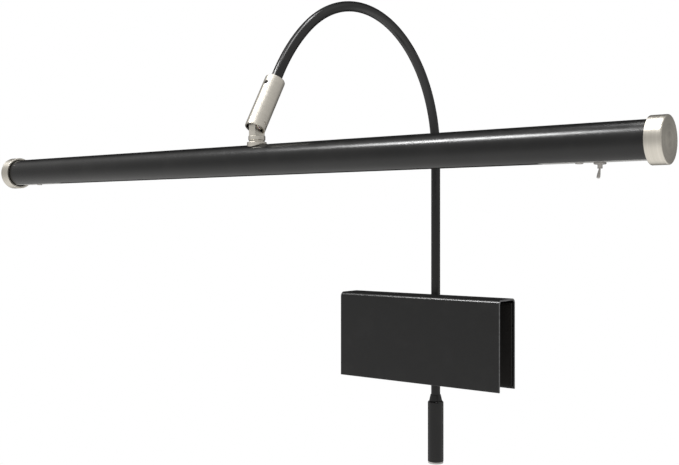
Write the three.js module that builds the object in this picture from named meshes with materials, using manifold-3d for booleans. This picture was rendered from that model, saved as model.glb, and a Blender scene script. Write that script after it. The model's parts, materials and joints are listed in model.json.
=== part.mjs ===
// A hook-over picture light: a tube shade on a curved arm, standing on a felt-lined saddle.
// Units are millimetres. +X runs along the shade to the right, +Y points back and +Z up.
// The origin is the centre of the saddle's seat, the face that rests on a frame's top edge.

import * as THREE from "three";
import { mergeVertices } from "three/addons/utils/BufferGeometryUtils.js";
import Module from "manifold-3d";

const wasm = await Module();
wasm.setup();

// ---- Driving dimensions ----

const touch = 0.1; // gap between pieces that rest on each other
const running = 0.3; // gap between pieces in the tilted knuckle
const past = 1; // how far a cutting tool runs past the face it cuts

const saddle = { width: 158, depth: 27.5, height: 74, sheet: 1.5, bend: 4 };
const felt = { thickness: 2, inset: 1.8 };
const guide = { radius: 5.25, bore: 4.62, top: -8, bottom: -64, footWidth: 7 };
const liner = { radius: 4.5, bore: 4.09, lip: 4.95, lipHeight: 1, split: 0.8 };
const lock = { z: -36, bossRadius: 5, bossEnd: 10, padRadius: 2.2, padLength: 3 };
const lockScrew = { radius: 2.45, length: 13, clearance: 0.2 };
const knob = { radius: 7.5, height: 9, ridges: 24, ridgeDepth: 0.5 };

const arm = {
  radius: 3.97,
  bore: 2.6,
  bottom: -100,
  bendStart: 123.1,
  bendRadius: 107.6,
  bendAngle: THREE.MathUtils.degToRad(129.25),
  leadRadius: 145,
  leadAngle: THREE.MathUtils.degToRad(20),
  leadLength: 44.2,
  endGap: 2,
};
const cable = { radius: 1.4, bottom: -127, endGap: 6.5 };
const inlet = { radius: 6.8, bore: 5.45, top: -92, bottom: -144.3, shoulder: 2.4, bevel: 0.5 };
const cone = { top: -86.4, bottom: -91.6, tail: -98, topRadius: 4.45, radius: 5.6 };
const jack = {
  radius: 2.75,
  mouth: -146,
  roof: -136,
  back: -132,
  flange: 6.6,
  rim: 0.3,
  pinRadius: 0.9,
  pinInset: 1.5,
  pinTail: 3,
};

const sleeve = { radius: 7.2, below: 3.9, above: 37.4, mouth: 5.8, mouthDepth: 7.5 };
const setScrew = { height: 30.5, radius: 1.45, hole: 1.75, length: 2.4, socket: 0.7, socketDepth: 1.2 };
const pin = { radius: 1.15, halfLength: 6.8 };
const washer = { radius: 3.8, thickness: 0.7 };
const tongue = { thickness: 5.7, width: 9.7, drop: 25.1, sideGap: 0.45, endGap: 0.65 };
const ridge = { radius: 5.8, bottom: 13.9, top: 16.9, bevel: 0.4 };
const shank = { radius: 4.6, bottom: 3.2, hole: 4.85, clearance: 0.15 };
const collar = { radius: 6.7, bottom: 7, top: 12.7, bevel: 0.4 };
const backing = { radius: 5.9, bottom: 7 };
const swivelWasherRadius = 5.3;
const waveWasher = { radius: 5.9, thickness: 0.6 };
const neckNut = { flats: 11, bottom: 3.6, height: 2.6 };
const neckLead = { radius: 0.9, offset: 2.9, below: 0.8, above: 3.3 };

const shade = { length: 558.8, radius: 11, wall: 1.2, slotHalf: 4.9, endGap: 0.3 };
const cap = {
  radius: 12.8,
  length: 9.15,
  wall: 1.5,
  face: 1.5,
  spigot: 2.9,
  spigotEnd: -2,
  rim: 0.4,
  bevel: 0.6,
};
const plug = { radius: 9.5, length: 8, bore: 3.2, flat: -8.6, endGap: 0.5 };
const plate = { halfWidth: 4.8, bottom: -9.95, thickness: 1, blankLength: 56, switchLength: 68 };
const clamp = { length: 8, width: 12.4, bottom: -7.2, height: 2.2, hole: 1.3 };
const plateScrew = {
  fromLeft: 36,
  fromRight: 48,
  hole: 1.4,
  radius: 1.1,
  head: 2.1,
  crown: 1.6,
  rim: 0.2,
  height: 0.6,
  past: 0.5,
};
const toggle = {
  fromEnd: 36.5,
  bush: 1.35,
  bushBore: 0.95,
  bottom: -13.4,
  pivot: -12.5,
  lean: 9.5,
  hole: 1.6,
};
const switchBox = { halfLength: 3.8, halfWidth: 2.7, height: 6.6, gap: 0.55, lugPitch: 2.4, lugLength: 2.6 };
const switchNut = { flats: 5.8, bore: 1.45, height: 1.15 };
const switchWasher = { bore: 1.5, radius: 2.6 };

const rail = { start: -268, end: 205, top: 1.5, web: 2, legBottom: -4.5, halfWidth: 8.5, leg: 1.3 };
const board = { start: -214, end: 202, halfWidth: 5, thickness: 1.2 };
const led = { pitch: 13, count: 32, length: 3.5, width: 2.8, height: 0.8, bury: 0.2 };
const lens = {
  top: -6.5,
  flange: 0.8,
  flangeHalf: 6.1,
  slope: 0.1,
  halfWidth: 4.5,
  bottom: -8.6,
  endGap: 0.4,
};
const driver = { start: 120, length: 74, halfWidth: 6.5, thickness: 1.2 };
const sheet = { halfWidth: 7, thickness: 0.4, overhang: 2 };
const inductor = { from: 20, radius: 3.2, height: 4 };
const capacitor = { from: 45, radius: 2.5, halfLength: 5.5, y: -2 };
const chip = { from: 59, length: 6, halfWidth: 2.5, height: 1.8 };
const leads = { driver: 0.9, switched: 0.8, board: 0.5, height: 1.2, gap: 3 };

// ---- Materials ----

const finish = (color, roughness, metalness) =>
  new THREE.MeshStandardMaterial({ color, roughness, metalness });

const blackCoat = finish(0x2d2d2e, 0.42, 0.25);
const blackFelt = finish(0x15110f, 0.95, 0);
const nickel = finish(0xc6c1b6, 0.3, 1);
const darkSteel = finish(0x242322, 0.5, 0.8);
const aluminium = finish(0xaeb1b3, 0.45, 0.9);
const greyPlastic = finish(0xb7b7b4, 0.5, 0);
const whiteNylon = finish(0xe4e0d6, 0.6, 0);
const opal = finish(0xf1efe8, 0.55, 0);
const boardWhite = finish(0xe9e9e3, 0.5, 0);
const boardGreen = finish(0x20573a, 0.5, 0);
const blackPlastic = finish(0x1c1c1d, 0.6, 0);
const ferrite = finish(0x34312e, 0.7, 0.1);
const brass = finish(0xb69a5a, 0.35, 1);
const jacket = finish(0x1b1b1b, 0.7, 0);
const whiteJacket = finish(0xdcdad4, 0.6, 0);

// ---- Solids ----

// A closed geometry as a manifold solid.
function solidOf(geometry) {
  const bare = geometry.clone();
  bare.deleteAttribute("normal");
  bare.deleteAttribute("uv");
  const merged = mergeVertices(bare, 1e-4);
  const vertProperties = new Float32Array(merged.attributes.position.array);
  const triVerts = new Uint32Array(merged.index.array);
  return new wasm.Manifold(new wasm.Mesh({ numProp: 3, vertProperties, triVerts }));
}

// A manifold solid as a geometry.
function geometryOf(solid) {
  const { vertProperties, triVerts } = solid.getMesh();
  const geometry = new THREE.BufferGeometry();
  geometry.setAttribute("position", new THREE.BufferAttribute(vertProperties, 3));
  geometry.setIndex(new THREE.BufferAttribute(triVerts, 1));
  geometry.computeVertexNormals();
  return geometry;
}

const joined = (first, ...rest) =>
  geometryOf(rest.reduce((whole, next) => whole.add(solidOf(next)), solidOf(first)));

const cut = (body, ...tools) =>
  geometryOf(tools.reduce((left, tool) => left.subtract(solidOf(tool)), solidOf(body)));

const common = (first, second) => geometryOf(solidOf(first).intersect(solidOf(second)));

// A profile of [radius, height] pairs, listed outside face upwards, turned about Z.
function turned(profile, segments = 32) {
  const points = profile.map(([radius, height]) => new THREE.Vector2(radius, height));
  return new THREE.LatheGeometry(points, segments).rotateX(Math.PI / 2);
}

function ring(inner, outer, bottom, top, segments = 32) {
  const corners = [[inner, bottom], [outer, bottom], [outer, top], [inner, top], [inner, bottom]];
  return turned(corners, segments);
}

function cylinder(radius, bottom, top, segments = 32) {
  return turned([[0, bottom], [radius, bottom], [radius, top], [0, top]], segments);
}

function block(x0, x1, y0, y1, z0, z1) {
  const box = new THREE.BoxGeometry(x1 - x0, y1 - y0, z1 - z0);
  return box.translate((x0 + x1) / 2, (y0 + y1) / 2, (z0 + z1) / 2);
}

// Turns a geometry made along Z so that it lies along X or along Y.
const alongX = (geometry) => geometry.rotateY(Math.PI / 2);
const alongY = (geometry) => geometry.rotateX(-Math.PI / 2);

// A shape drawn in (y, z), extruded from x0 to x1.
function bar(shape, x0, x1, curveSegments = 8) {
  const options = { depth: x1 - x0, bevelEnabled: false, curveSegments };
  const axes = new THREE.Matrix4().makeBasis(
    new THREE.Vector3(0, 1, 0),
    new THREE.Vector3(0, 0, 1),
    new THREE.Vector3(1, 0, 0),
  );
  return new THREE.ExtrudeGeometry(shape, options).applyMatrix4(axes).translate(x0, 0, 0);
}

const outline = (points) => new THREE.Shape(points.map(([y, z]) => new THREE.Vector2(y, z)));

function disc(radius, hole) {
  const shape = new THREE.Shape();
  shape.absarc(0, 0, radius, 0, 2 * Math.PI);
  if (hole) {
    const inner = new THREE.Path();
    inner.absarc(0, 0, hole, 0, 2 * Math.PI);
    shape.holes.push(inner);
  }
  return shape;
}

// A disc, with an optional hole, swept along a curve.
function sweep(curve, steps, radius, hole = 0, sides = 16) {
  const options = { steps, extrudePath: curve, curveSegments: sides / 2 };
  return new THREE.ExtrudeGeometry(disc(radius, hole), options);
}

// A hexagon nut with its axis along Z.
function nut(flats, bore, bottom, height) {
  const hexagon = cylinder(flats / Math.sqrt(3), bottom, bottom + height, 6);
  return cut(hexagon, cylinder(bore, bottom - past, bottom + height + past));
}

const root = new THREE.Group();

function piece(group, name, geometry, material) {
  const mesh = new THREE.Mesh(geometry, material.clone());
  mesh.name = name;
  group.add(mesh);
  return mesh;
}

function groupAt(parent, x, y, z) {
  const group = new THREE.Group();
  group.position.set(x, y, z);
  parent.add(group);
  return group;
}

// ---- The arm's centre line ----

// Its stretches from the bottom up, in the plane x = 0, each with the angle it turns through.
const stretches = [
  { length: arm.bendStart - arm.bottom, turn: 0 },
  { length: arm.bendRadius * arm.bendAngle, turn: arm.bendAngle },
  { length: arm.leadRadius * arm.leadAngle, turn: arm.leadAngle },
  { length: arm.leadLength, turn: 0 },
];
const armLength = stretches.reduce((sum, stretch) => sum + stretch.length, 0);
const armY = saddle.depth / 2 + guide.radius;
const bendStep = THREE.MathUtils.degToRad(6);

// The point at a distance from the arm's bottom end; a negative distance lies below it.
function armPoint(distance) {
  let y = armY;
  let z = arm.bottom;
  let heading = 0;
  let left = distance;
  for (const { length, turn } of stretches) {
    const step = Math.min(left, length);
    const bend = turn / length;
    const next = heading + bend * step;
    y += bend ? (Math.cos(next) - Math.cos(heading)) / bend : -Math.sin(heading) * step;
    z += bend ? (Math.sin(next) - Math.sin(heading)) / bend : Math.cos(heading) * step;
    heading = next;
    left -= step;
    if (left <= 0) break;
  }
  return new THREE.Vector3(0, y, z);
}

// The stations of a sweep along the arm: one step on a straight, several round each bend.
function armStations(start, end) {
  const stations = [start];
  let passed = 0;
  for (const { length, turn } of stretches) {
    const steps = Math.max(1, Math.round(turn / bendStep));
    for (let i = 1; i <= steps; i++) stations.push(passed + (length * i) / steps);
    passed += length;
  }
  stations[stations.length - 1] = end;
  return stations;
}

// Part of the centre line. Equal steps of its parameter go from station to station.
class ArmPath extends THREE.Curve {
  constructor(start, end) {
    super();
    this.stations = armStations(start, end);
    this.steps = this.stations.length - 1;
  }

  getUtoTmapping(u) {
    return u;
  }

  getPoint(t) {
    const at = THREE.MathUtils.clamp(t * this.steps, 0, this.steps);
    const i = Math.min(Math.floor(at), this.steps - 1);
    return armPoint(THREE.MathUtils.lerp(this.stations[i], this.stations[i + 1], at - i));
  }
}

const pivot = armPoint(armLength);
const sleeveTilt = Math.PI - arm.bendAngle - arm.leadAngle;

// ---- Saddle ----

function channelShape() {
  const outer = saddle.depth / 2;
  const inner = outer - saddle.sheet;
  const bottom = saddle.sheet - saddle.height;
  const bendY = outer - saddle.bend;
  const bendZ = saddle.sheet - saddle.bend;
  const inside = saddle.bend - saddle.sheet;
  const quarter = Math.PI / 2;
  const shape = new THREE.Shape();
  shape.moveTo(-outer, bottom);
  shape.lineTo(-inner, bottom);
  shape.absarc(-bendY, bendZ, inside, 2 * quarter, quarter, true);
  shape.absarc(bendY, bendZ, inside, quarter, 0, true);
  shape.lineTo(inner, bottom);
  shape.lineTo(outer, bottom);
  shape.absarc(bendY, bendZ, saddle.bend, 0, quarter);
  shape.absarc(-bendY, bendZ, saddle.bend, quarter, 2 * quarter);
  return shape;
}

function feltPad(side) {
  const face = saddle.depth / 2 - saddle.sheet - touch / 2;
  const near = side * face;
  const far = side * (face - felt.thickness);
  const half = saddle.width / 2 - felt.inset;
  const bottom = saddle.sheet - saddle.height + felt.inset;
  const top = saddle.sheet - saddle.bend;
  return block(-half, half, Math.min(near, far), Math.max(near, far), bottom, top);
}

// The tube that the arm slides in, with the foot that joins it to the back plate and a threaded
// boss on its far side.
function guideTube() {
  const tube = cylinder(guide.radius, guide.bottom, guide.top);
  const foot = block(
    -guide.footWidth / 2,
    guide.footWidth / 2,
    touch - guide.radius,
    0,
    guide.bottom,
    guide.top,
  );
  const boss = alongY(cylinder(lock.bossRadius, 0, lock.bossEnd)).translate(0, 0, lock.z);
  const bore = cylinder(guide.bore, guide.bottom - past, guide.top + past);
  const thread = alongY(cylinder(lockScrew.radius + lockScrew.clearance, 0, lock.bossEnd + past));
  return cut(joined(tube, foot, boss), bore, thread.translate(0, 0, lock.z));
}

function guideLiner() {
  const { bore, radius, lip, lipHeight, split } = liner;
  const top = guide.top + touch;
  const bottom = guide.bottom - touch;
  const bush = turned([
    [bore, bottom - lipHeight],
    [lip, bottom - lipHeight],
    [lip, bottom],
    [radius, bottom],
    [radius, top],
    [lip, top],
    [lip, top + lipHeight],
    [bore, top + lipHeight],
    [bore, bottom - lipHeight],
  ]);
  const slit = block(
    -split / 2,
    split / 2,
    -guide.radius,
    0,
    bottom - lipHeight - past,
    top + lipHeight + past,
  );
  return cut(bush, slit);
}

function lockKnob() {
  const shape = new THREE.Shape();
  for (let i = 0; i < 2 * knob.ridges; i++) {
    const radius = knob.radius - (i % 2) * knob.ridgeDepth;
    const angle = (i * Math.PI) / knob.ridges;
    const corner = [radius * Math.cos(angle), radius * Math.sin(angle)];
    if (i) shape.lineTo(...corner);
    else shape.moveTo(...corner);
  }
  const grip = new THREE.ExtrudeGeometry(shape, { depth: knob.height, bevelEnabled: false });
  const bore = cylinder(lockScrew.radius + touch / 2, -past, knob.height + past, 24);
  return alongY(cut(grip, bore));
}

function addSaddle() {
  const half = saddle.width / 2;
  piece(root, "saddle_channel", bar(channelShape(), -half, half), blackCoat);
  piece(root, "front_felt", feltPad(-1), blackFelt);
  piece(root, "back_felt", feltPad(1), blackFelt);
  const group = groupAt(root, 0, armY, 0);
  piece(group, "guide_tube", guideTube(), blackCoat);
  piece(group, "guide_liner", guideLiner(), whiteNylon);

  const padStart = liner.radius + touch;
  const screwStart = padStart + lock.padLength + touch;
  const knobStart = screwStart + lockScrew.length - knob.height;
  const pad = alongY(cylinder(lock.padRadius, padStart, padStart + lock.padLength, 24));
  const stud = alongY(cylinder(lockScrew.radius, screwStart, screwStart + lockScrew.length, 24));
  piece(group, "lock_pad", pad.translate(0, 0, lock.z), whiteNylon);
  piece(group, "lock_screw", stud.translate(0, 0, lock.z), darkSteel);
  piece(group, "lock_knob", lockKnob().translate(0, knobStart, lock.z), blackPlastic);
}

// ---- Arm ----

function inletHousing() {
  const { radius, bore, top, bottom, shoulder, bevel } = inlet;
  return turned([
    [bore, bottom],
    [radius - bevel, bottom],
    [radius, bottom + bevel],
    [radius, top - shoulder],
    [radius - bevel / 2, top - shoulder * 0.4],
    [radius - bevel * 1.5, top],
    [bore, top],
    [bore, bottom],
  ]);
}

function inletCone() {
  const bore = arm.radius + touch;
  const tail = inlet.bore - touch;
  return turned([
    [bore, cone.tail],
    [tail, cone.tail],
    [tail, inlet.top + touch],
    [cone.radius, cone.bottom],
    [cone.topRadius, cone.top],
    [bore, cone.top],
    [bore, cone.tail],
  ], 28);
}

function inletSocket() {
  const { mouth, flange, rim } = jack;
  const radius = inlet.bore - touch;
  const flangeTop = inlet.bottom - touch;
  const pinHole = jack.pinRadius + touch;
  return turned([
    [pinHole, jack.roof],
    [jack.radius, jack.roof],
    [jack.radius, mouth],
    [flange - rim, mouth],
    [flange, mouth + rim],
    [flange, flangeTop],
    [radius, flangeTop],
    [radius, jack.back],
    [pinHole, jack.back],
    [pinHole, jack.roof],
  ], 24);
}

// The knuckle's pieces are made about the pivot, with the sleeve's axis along Z, pin along X.
function knuckleSleeve() {
  const { radius, below, above, mouth, mouthDepth } = sleeve;
  const bore = arm.radius + running;
  const bevel = 0.6;
  const body = turned([
    [mouth, -below],
    [radius - bevel / 2, -below],
    [radius, bevel / 2 - below],
    [radius, above - bevel],
    [radius - bevel, above],
    [bore, above],
    [bore, mouthDepth],
    [mouth, mouthDepth],
    [mouth, -below],
  ]);
  const slotHalf = tongue.thickness / 2 + tongue.sideGap;
  const slotTop = tongue.width / 2 + tongue.endGap;
  const slot = block(-slotHalf, slotHalf, 0, radius + past, -below - past, slotTop);
  const pinHole = alongX(cylinder(pin.radius + running, -radius - past, radius + past, 20));
  const screwHole = alongY(cylinder(setScrew.hole, -radius - past, 0, 20));
  return cut(body, slot, pinHole, screwHole.translate(0, 0, setScrew.height));
}

function sleeveSetScrew() {
  const tip = -arm.radius - running;
  const end = tip - setScrew.length;
  const socketEnd = end + setScrew.socketDepth;
  const screw = turned([
    [0, socketEnd],
    [setScrew.socket, socketEnd],
    [setScrew.socket, end],
    [setScrew.radius, end],
    [setScrew.radius, tip],
    [0, tip],
  ], 20);
  return alongY(screw).translate(0, 0, setScrew.height);
}

function frictionWasher(side) {
  const start = tongue.thickness / 2 + running;
  const end = start + washer.thickness;
  const disk = alongX(ring(pin.radius + running, washer.radius, start, end, 28));
  return side > 0 ? disk : disk.translate(-start - end, 0, 0);
}

function addArm() {
  const tubePath = new ArmPath(0, armLength - sleeve.mouthDepth - arm.endGap);
  const cablePath = new ArmPath(cable.bottom - arm.bottom, armLength - cable.endGap);
  const tube = sweep(tubePath, tubePath.steps, arm.radius, arm.bore, 18);
  const core = sweep(cablePath, cablePath.steps, cable.radius, 0, 8);
  piece(root, "arm_tube", tube, blackCoat);
  piece(root, "arm_cable", core, jacket);

  const fitting = groupAt(root, 0, armY, 0);
  const contactBottom = jack.mouth + jack.pinInset;
  const contact = cylinder(jack.pinRadius, contactBottom, jack.back + jack.pinTail, 16);
  piece(fitting, "inlet_housing", inletHousing(), blackCoat);
  piece(fitting, "inlet_cone", inletCone(), blackCoat);
  piece(fitting, "inlet_socket", inletSocket(), greyPlastic);
  piece(fitting, "inlet_contact", contact, brass);

  const knuckle = groupAt(root, 0, pivot.y, pivot.z);
  knuckle.rotation.x = -sleeveTilt;
  const pivotPin = alongX(cylinder(pin.radius, -pin.halfLength, pin.halfLength, 20));
  piece(knuckle, "knuckle_sleeve", knuckleSleeve(), nickel);
  piece(knuckle, "sleeve_set_screw", sleeveSetScrew(), darkSteel);
  piece(knuckle, "pivot_pin", pivotPin, nickel);
  piece(knuckle, "friction_washer_left", frictionWasher(-1), whiteNylon);
  piece(knuckle, "friction_washer_right", frictionWasher(1), whiteNylon);
}

// ---- Neck ----
// From here on, heights are measured from the shade's axis.

function neckTongue() {
  const half = tongue.thickness / 2;
  const halfWidth = tongue.width / 2;
  const { radius, bottom, top, bevel } = ridge;
  const post = turned([
    [0, shank.bottom],
    [shank.radius, shank.bottom],
    [shank.radius, bottom],
    [radius - bevel, bottom],
    [radius, bottom + bevel],
    [radius, top - bevel],
    [radius - bevel, top],
    [0, top],
  ]);
  const blade = block(-half, half, -halfWidth, halfWidth, top - bevel, tongue.drop);
  const crown = alongX(cylinder(halfWidth, -half, half)).translate(0, 0, tongue.drop);
  const pinHole = alongX(cylinder(pin.radius + running, -half - past, half + past, 20));
  const wireRadius = neckLead.radius + 2 * touch;
  const wireHole = cylinder(wireRadius, shank.bottom - past, tongue.drop + tongue.width, 14);
  return cut(
    joined(post, blade, crown),
    pinHole.translate(0, 0, tongue.drop),
    wireHole.translate(0, neckLead.offset, 0),
  );
}

function neckCollar() {
  const { radius, bottom, top, bevel } = collar;
  const body = turned([
    [shank.hole, bottom],
    [radius, bottom],
    [radius, top - bevel],
    [radius - bevel, top],
    [shank.hole, top],
    [shank.hole, bottom],
  ]);
  const saddleCut = cylinder(shade.radius + touch, -radius - past, radius + past, 48);
  return cut(body, alongX(saddleCut));
}

// The packing piece under the tube's wall: round on top, flat below.
function neckBacking() {
  const end = collar.radius + past;
  const inside = alongX(cylinder(innerRadius - touch, -end, end, 48));
  return common(ring(shank.hole, backing.radius, backing.bottom, shade.radius), inside);
}

function addNeck(group) {
  const nutTop = neckNut.bottom + neckNut.height;
  const waveTop = nutTop + touch + waveWasher.thickness;
  const bore = shank.radius + shank.clearance;
  const thrust = ring(bore, swivelWasherRadius, collar.top + touch, ridge.bottom - touch);
  const wave = ring(bore, waveWasher.radius, nutTop + touch, waveTop);
  const leadBottom = shank.bottom - neckLead.below;
  const lead = cylinder(neckLead.radius, leadBottom, tongue.drop + neckLead.above, 10);
  piece(group, "neck_tongue", neckTongue(), nickel);
  piece(group, "swivel_washer", thrust, nickel);
  piece(group, "neck_wave_washer", wave, darkSteel);
  piece(group, "neck_nut", nut(neckNut.flats, bore, neckNut.bottom, neckNut.height), brass);
  piece(group, "neck_lead", lead.translate(0, neckLead.offset, 0), whiteJacket);
  piece(group, "neck_collar", neckCollar(), nickel);
  piece(group, "neck_backing", neckBacking(), darkSteel);
}

// ---- Shade ----

const shadeHalf = shade.length / 2;
const innerRadius = shade.radius - shade.wall;
const tubeHalf = shadeHalf - cap.face - shade.endGap;

// A round tube with a slot along its underside.
function tubeShape() {
  const outer = Math.asin(shade.slotHalf / shade.radius);
  const inner = Math.asin(shade.slotHalf / innerRadius);
  const start = -Math.PI / 2;
  const end = start + 2 * Math.PI;
  const shape = new THREE.Shape();
  shape.absarc(0, 0, shade.radius, start + outer, end - outer);
  shape.absarc(0, 0, innerRadius, end - inner, start + inner, true);
  return shape;
}

function endCap() {
  const { radius, length, wall, face, spigot, spigotEnd, rim, bevel } = cap;
  return turned([
    [0, spigotEnd],
    [spigot, spigotEnd],
    [spigot, length - face],
    [radius - wall, length - face],
    [radius - wall, 0],
    [radius - rim, 0],
    [radius, rim],
    [radius, length - bevel],
    [radius - bevel, length],
    [0, length],
  ], 40);
}

function capPlug() {
  const end = cap.length - cap.face - plug.endGap;
  return ring(plug.bore, plug.radius, end - plug.length, end);
}

// Places a piece made along Z at the shade's right end (side 1) or left end (side -1).
function atEnd(geometry, side) {
  return geometry.rotateY((side * Math.PI) / 2).translate(side * (shadeHalf - cap.length), 0, 0);
}

function addCaps(group) {
  const deep = 2 * cap.radius;
  const flat = block(-shadeHalf, shadeHalf, -deep, deep, -deep, plug.flat);
  for (const [word, side] of [["left", -1], ["right", 1]]) {
    piece(group, "end_cap_" + word, atEnd(endCap(), side), nickel);
    piece(group, "cap_plug_" + word, cut(atEnd(capPlug(), side), flat), whiteNylon);
  }
}

// A slot plate from x0 to x1, with round holes given as [x, radius].
function slotPlate(x0, x1, holes) {
  const { halfWidth, bottom, thickness } = plate;
  const flat = block(x0, x1, -halfWidth, halfWidth, bottom, bottom + thickness);
  const tools = holes.map(([x, radius]) =>
    cylinder(radius, bottom - past, bottom + thickness + past, 20).translate(x, 0, 0),
  );
  return cut(flat, ...tools);
}

function plateClamp(x) {
  const { length, width, bottom, height, hole } = clamp;
  const top = bottom + height;
  const body = block(x - length / 2, x + length / 2, -width / 2, width / 2, bottom, top);
  return cut(body, cylinder(hole, bottom - past, top + past, 16).translate(x, 0, 0));
}

function plateScrewAt(x) {
  const { radius, head, crown, rim, height } = plateScrew;
  const seat = plate.bottom - touch;
  const end = clamp.bottom + clamp.height + plateScrew.past;
  const screw = turned([
    [0, seat - height],
    [crown, seat - height],
    [head, seat - rim],
    [head, seat],
    [radius, seat],
    [radius, end],
    [0, end],
  ], 16);
  return screw.translate(x, 0, 0);
}

const toggleX = shadeHalf - toggle.fromEnd;
const plateEnd = tubeHalf - touch;
const switchPlateStart = plateEnd - plate.switchLength;
const blankPlateEnd = plate.blankLength - plateEnd;

function addPlates(group) {
  const left = plateScrew.fromLeft - shadeHalf;
  const right = shadeHalf - plateScrew.fromRight;
  const blank = slotPlate(-plateEnd, blankPlateEnd, [[left, plateScrew.hole]]);
  const switchHoles = [[right, plateScrew.hole], [toggleX, toggle.hole]];
  piece(group, "blank_plate", blank, greyPlastic);
  piece(group, "blank_plate_clamp", plateClamp(left), aluminium);
  piece(group, "blank_plate_screw", plateScrewAt(left), nickel);
  piece(group, "switch_plate", slotPlate(switchPlateStart, plateEnd, switchHoles), greyPlastic);
  piece(group, "switch_plate_clamp", plateClamp(right), aluminium);
  piece(group, "switch_plate_screw", plateScrewAt(right), nickel);
}

// ---- Switch ----

function switchBody(bottom) {
  const { halfLength, halfWidth, height, lugPitch, lugLength } = switchBox;
  const lug = { halfLength: 0.3, halfWidth: 0.8, bury: 0.5 };
  const top = bottom + height;
  const lugs = [-lugPitch, 0, lugPitch].map((x) =>
    block(
      x - lug.halfLength,
      x + lug.halfLength,
      -lug.halfWidth,
      lug.halfWidth,
      top - lug.bury,
      top + lugLength,
    ),
  );
  return joined(block(-halfLength, halfLength, -halfWidth, halfWidth, bottom, top), ...lugs);
}

// A bat lever that hangs from its pivot: a rounded bat, a thin neck and a ball.
function toggleLever() {
  return turned([
    [0, -6.2],
    [0.6, -6.12],
    [0.95, -5.7],
    [0.9, -4.6],
    [0.5, -1],
    [0.45, -0.7],
    [0.75, 0],
    [0.53, 0.53],
    [0, 0.75],
  ], 16);
}

function addSwitch(group) {
  const plateTop = plate.bottom + plate.thickness;
  const bodyBottom = plateTop + switchBox.gap;
  const nutTop = plate.bottom - touch;
  const at = groupAt(group, toggleX, 0, 0);
  const { bore, radius } = switchWasher;
  const bush = ring(toggle.bushBore, toggle.bush, toggle.bottom, bodyBottom - touch / 2, 24);
  const lockWasher = ring(bore, radius, plateTop + touch / 2, bodyBottom - touch, 24);
  const { flats, height } = switchNut;
  piece(at, "switch_body", switchBody(bodyBottom), blackPlastic);
  piece(at, "switch_bush", bush, nickel);
  piece(at, "switch_washer", lockWasher, nickel);
  piece(at, "switch_nut", nut(flats, switchNut.bore, nutTop - height, height), nickel);
  const lever = piece(at, "toggle_lever", toggleLever(), nickel);
  lever.position.z = toggle.pivot;
  lever.rotation.y = THREE.MathUtils.degToRad(toggle.lean);
}

// ---- Light and driver ----

function carrierShape() {
  const { top, web, legBottom, halfWidth, leg } = rail;
  const under = top - web;
  const legIn = halfWidth - leg;
  return outline([
    [-halfWidth, legBottom],
    [-legIn, legBottom],
    [-legIn, under],
    [legIn, under],
    [legIn, legBottom],
    [halfWidth, legBottom],
    [halfWidth, top],
    [-halfWidth, top],
  ]);
}

function ledBoard() {
  const { start, end, halfWidth, thickness } = board;
  const top = rail.top - rail.web - touch;
  const bottom = top - thickness;
  const first = -(led.pitch * led.count) / 2;
  const lamps = Array.from({ length: led.count }, (_, i) => {
    const x = first + led.pitch * i;
    const y = led.width / 2;
    return block(x, x + led.length, -y, y, bottom - led.height, bottom + led.bury);
  });
  return joined(block(start, end, -halfWidth, halfWidth, bottom, top), ...lamps);
}

// The lens drops through the slot and rests on the tube's lips by a flange on each side.
function lensShape() {
  const { top, flange, flangeHalf, slope, halfWidth, bottom } = lens;
  const shoulder = top - flange;
  return outline([
    [-halfWidth, bottom],
    [halfWidth, bottom],
    [halfWidth, shoulder - slope],
    [flangeHalf, shoulder],
    [flangeHalf, top],
    [-flangeHalf, top],
    [-flangeHalf, shoulder],
    [-halfWidth, shoulder - slope],
  ]);
}

function addLight(group) {
  const diffuser = bar(lensShape(), blankPlateEnd + lens.endGap, switchPlateStart - lens.endGap);
  piece(group, "led_carrier", bar(carrierShape(), rail.start, rail.end), aluminium);
  piece(group, "led_board", ledBoard(), boardWhite);
  piece(group, "diffuser", diffuser, opal);
}

function addDriver(group) {
  const { start, length, halfWidth, thickness } = driver;
  const end = start + length;
  const sheetBottom = rail.top + touch;
  const sheetTop = sheetBottom + sheet.thickness;
  const boardTop = sheetTop + touch + thickness;
  const seat = boardTop + touch;
  const insulator = block(
    start - sheet.overhang,
    end + sheet.overhang,
    -sheet.halfWidth,
    sheet.halfWidth,
    sheetBottom,
    sheetTop,
  );
  const card = block(start, end, -halfWidth, halfWidth, sheetTop + touch, boardTop);
  const coil = cylinder(inductor.radius, seat, seat + inductor.height, 24);
  const can = alongX(cylinder(capacitor.radius, -capacitor.halfLength, capacitor.halfLength, 20));
  const chipX = start + chip.from;
  const chipTop = seat + chip.height;
  const body = block(chipX, chipX + chip.length, -chip.halfWidth, chip.halfWidth, seat, chipTop);
  piece(group, "driver_insulator", insulator, whiteNylon);
  piece(group, "driver_board", card, boardGreen);
  piece(group, "driver_inductor", coil.translate(start + inductor.from, 0, 0), ferrite);
  can.translate(start + capacitor.from, capacitor.y, seat + capacitor.radius);
  piece(group, "driver_capacitor", can, aluminium);
  piece(group, "driver_chip", body, blackPlastic);
}

// ---- Leads ----

function lead(points, radius) {
  const curve = new THREE.CatmullRomCurve3(points.map((point) => new THREE.Vector3(...point)));
  return sweep(curve, 4 * (points.length - 1), radius, 0, 6);
}

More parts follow.
